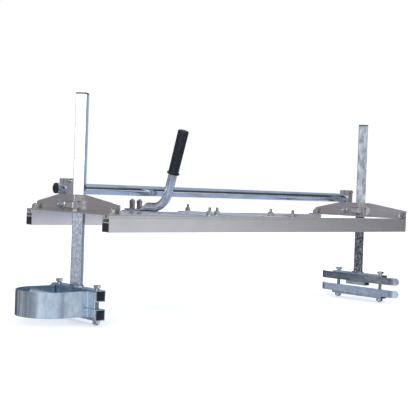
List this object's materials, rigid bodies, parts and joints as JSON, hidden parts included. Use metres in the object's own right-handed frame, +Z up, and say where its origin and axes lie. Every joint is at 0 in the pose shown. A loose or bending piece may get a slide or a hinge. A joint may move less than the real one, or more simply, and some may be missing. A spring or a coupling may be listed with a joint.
{
  "type": "chainsaw mill",
  "caption": "Two-rail chainsaw milling frame with sliding posts, bar clamps, round nose guard, push bar and upright handle.",
  "frame": {"origin": "centre of the bounding box's bottom face, on the surface that the ends of the clamp bolts stand on", "axes": "+X along the rails from the nose guard towards the saw's power head, +Y across the rails towards the push bar, +Z up"},
  "size_m": [1.1596, 0.3626, 0.52],
  "materials": {
    "aluminium": "satin extruded and clear anodised",
    "sheet_steel": "fine brushed stainless sheet",
    "zinc": "bright blue-white zinc plate",
    "zinc_tube": "zinc plated welded tube",
    "fastener": "bright zinc plate",
    "black_plastic": "moulded black plastic",
    "black_grip": "moulded black PVC grip"
  },
  "bodies": {
    "frame": {"front_rail": "aluminium", "rear_rail": "aluminium", "rail_end_plugs": "black_plastic", "left_bracket": "sheet_steel", "left_bracket_bolts": "fastener", "left_bracket_nuts": "fastener", "left_vee_block": "zinc", "left_strap": "sheet_steel", "left_strap_bolt": "fastener", "left_strap_nut": "fastener", "left_clamp_block": "sheet_steel", "left_pinch_bolt": "fastener", "left_pinch_nut": "fastener"},
    "right_carriage": {"right_bracket": "sheet_steel", "right_bracket_bolts": "fastener", "right_bracket_nuts": "fastener", "right_vee_block": "zinc", "right_strap": "sheet_steel", "right_strap_bolt": "fastener", "right_strap_nut": "fastener", "right_clamp_block": "sheet_steel", "right_pinch_bolt": "fastener", "right_pinch_nut": "fastener"},
    "left_mast": {"left_post": "zinc_tube", "left_post_cap": "black_plastic", "left_upper_bar": "zinc_tube", "left_upper_bar_plugs": "black_plastic", "left_clamp_bolts": "fastener", "nose_guard": "zinc"},
    "left_jaw": {"left_lower_bar": "zinc_tube", "left_lower_bar_plugs": "black_plastic", "left_clamp_nuts": "fastener"},
    "right_mast": {"right_post": "zinc_tube", "right_post_cap": "black_plastic", "right_upper_bar": "zinc_tube", "right_upper_bar_plugs": "black_plastic", "right_clamp_bolts": "fastener", "right_upper_wear_strip": "zinc", "clamp_pad": "zinc"},
    "right_jaw": {"right_lower_bar": "zinc_tube", "right_lower_bar_plugs": "black_plastic", "right_clamp_nuts": "fastener", "right_lower_wear_strip": "zinc"},
    "push_rail": {"push_bar": "zinc_tube", "push_bar_caps": "black_plastic"},
    "handle_unit": {"handle_plate": "zinc", "handle_tube": "zinc_tube", "handle_grip": "black_grip", "handle_bolts": "fastener", "handle_tall_nuts": "fastener", "handle_plate_bolts": "fastener", "handle_plate_nuts": "fastener"},
    "cross_tie": {"cross_plate": "aluminium", "cross_plate_bolts": "fastener", "cross_plate_nuts": "fastener"},
    "stop": {"stop_bolt": "fastener", "stop_nut": "fastener"}
  },
  "joints": [
    {"name": "right_carriage_slide", "type": "slide", "parent": "frame", "child": "right_carriage", "axis": [1, 0, 0], "range_m": [-0.35, 0]},
    {"name": "left_post_slide", "type": "slide", "parent": "frame", "child": "left_mast", "axis": [0, 0, 1], "range_m": [-0.18, 0.12]},
    {"name": "right_post_slide", "type": "slide", "parent": "right_carriage", "child": "right_mast", "axis": [0, 0, 1], "range_m": [-0.18, 0.12]},
    {"name": "left_jaw_slide", "type": "slide", "parent": "left_mast", "child": "left_jaw", "axis": [0, 0, 1], "range_m": [0, 0.014]},
    {"name": "right_jaw_slide", "type": "slide", "parent": "right_mast", "child": "right_jaw", "axis": [0, 0, 1], "range_m": [0, 0.0065]},
    {"name": "push_bar_slide", "type": "slide", "parent": "frame", "child": "push_rail", "axis": [1, 0, 0], "range_m": [-0.005, 0.012]},
    {"name": "handle_slide", "type": "slide", "parent": "frame", "child": "handle_unit", "axis": [1, 0, 0], "range_m": [-0.215, 0.12]},
    {"name": "cross_plate_slide", "type": "slide", "parent": "frame", "child": "cross_tie", "axis": [1, 0, 0], "range_m": [-0.12, 0.04]},
    {"name": "stop_slide", "type": "slide", "parent": "frame", "child": "stop", "axis": [1, 0, 0], "range_m": [-0.03, 0.38]}
  ]
}
